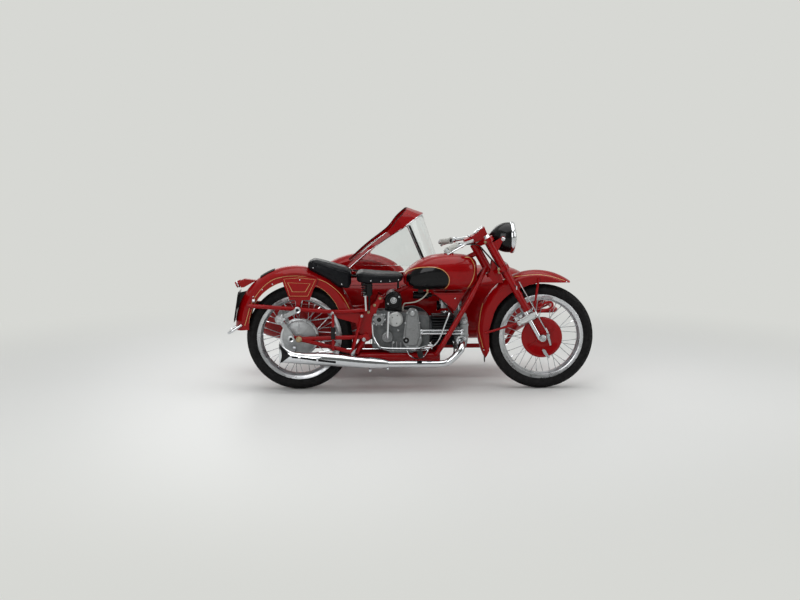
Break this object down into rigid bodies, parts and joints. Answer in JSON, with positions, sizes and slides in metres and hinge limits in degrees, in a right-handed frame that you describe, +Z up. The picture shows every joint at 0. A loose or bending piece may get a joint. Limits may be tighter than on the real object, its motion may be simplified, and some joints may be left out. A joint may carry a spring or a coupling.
{
  "type": "sidecar motorcycle",
  "caption": "Red 1950s horizontal-single motorcycle with a passenger sidecar, sprung rear end, headlamp, wire wheels and a clear windscreen under a painted hood.",
  "frame": {"origin": "on the ground under the middle of the whole outline", "axes": "+X forwards, +Y left towards the sidecar, +Z up"},
  "size_m": [2.2674, 1.46, 1.1022],
  "materials": {
    "red_enamel": "gloss",
    "black_enamel": "gloss",
    "chrome": "polished",
    "alloy": "sand cast",
    "steel": "satin",
    "cast_iron": "matte",
    "tyre_rubber": "matte",
    "rubber": "matte",
    "leather": "satin",
    "clear_screen": "clear",
    "lamp_glass": "clear"
  },
  "bodies": {
    "frame": {"carburettor": "alloy", "crankcase": "alloy", "cylinder": "cast_iron", "cylinder_head": "alloy", "drive_chain": "steel", "dynamo": "black_enamel", "exhaust_pipe": "chrome", "flywheel": "steel", "footrests": "rubber", "friction_dampers": "alloy", "front_toolboxes": "red_enamel", "fuel_tank": "red_enamel", "head_frame": "red_enamel", "kick_lever": "chrome", "number_plate": "steel", "pillion_pad": "leather", "pushrod_tubes": "chrome", "rear_frame": "red_enamel", "rear_mudguard": "red_enamel", "rear_toolboxes": "red_enamel", "saddle": "leather", "saddle_mount": "black_enamel", "screen_glass": "clear_screen", "screen_hood": "red_enamel", "sidecar_backrest": "leather", "sidecar_body": "red_enamel", "sidecar_chassis": "red_enamel", "sidecar_cushion": "leather", "sidecar_guard_stays": "red_enamel", "sidecar_mudguard": "red_enamel", "sidecar_struts": "red_enamel", "silencer": "chrome", "spring_box": "red_enamel", "swinging_arm": "red_enamel", "tail_lamp": "red_enamel", "tail_loop": "chrome", "timing_cover": "alloy"},
    "steering": {"fork_legs": "red_enamel", "fork_sliders": "chrome", "fork_yokes": "red_enamel", "front_brake_plate": "red_enamel", "front_mudguard": "red_enamel", "front_stays": "red_enamel", "grips": "rubber", "handlebar": "chrome", "headlamp_glass": "lamp_glass", "headlamp_rim": "chrome", "headlamp_shell": "black_enamel", "instrument_box": "red_enamel", "lamp_brackets": "red_enamel", "levers": "chrome"},
    "front_wheel": {"front_tyre": "tyre_rubber", "front_wheel": "steel"},
    "rear_wheel": {"rear_tyre": "tyre_rubber", "rear_wheel": "steel"},
    "sidecar_wheel": {"sidecar_tyre": "tyre_rubber", "sidecar_wheel": "steel"}
  },
  "joints": [
    {"name": "steer", "type": "hinge", "parent": "frame", "child": "steering", "pos_m": [0.4395, -0.37, 0.80814], "axis": [-0.4894, 0, 0.8721], "range_deg": [-35, 35]},
    {"name": "front_wheel_spin", "type": "hinge", "parent": "steering", "child": "front_wheel", "pos_m": [0.80725, -0.37, 0.3265], "axis": [0, 1, 0], "continuous": true},
    {"name": "rear_wheel_spin", "type": "hinge", "parent": "frame", "child": "rear_wheel", "pos_m": [-0.69275, -0.37, 0.3265], "axis": [0, 1, 0], "continuous": true},
    {"name": "sidecar_wheel_spin", "type": "hinge", "parent": "frame", "child": "sidecar_wheel", "pos_m": [-0.30775, 0.652, 0.3265], "axis": [0, 1, 0], "continuous": true}
  ]
}
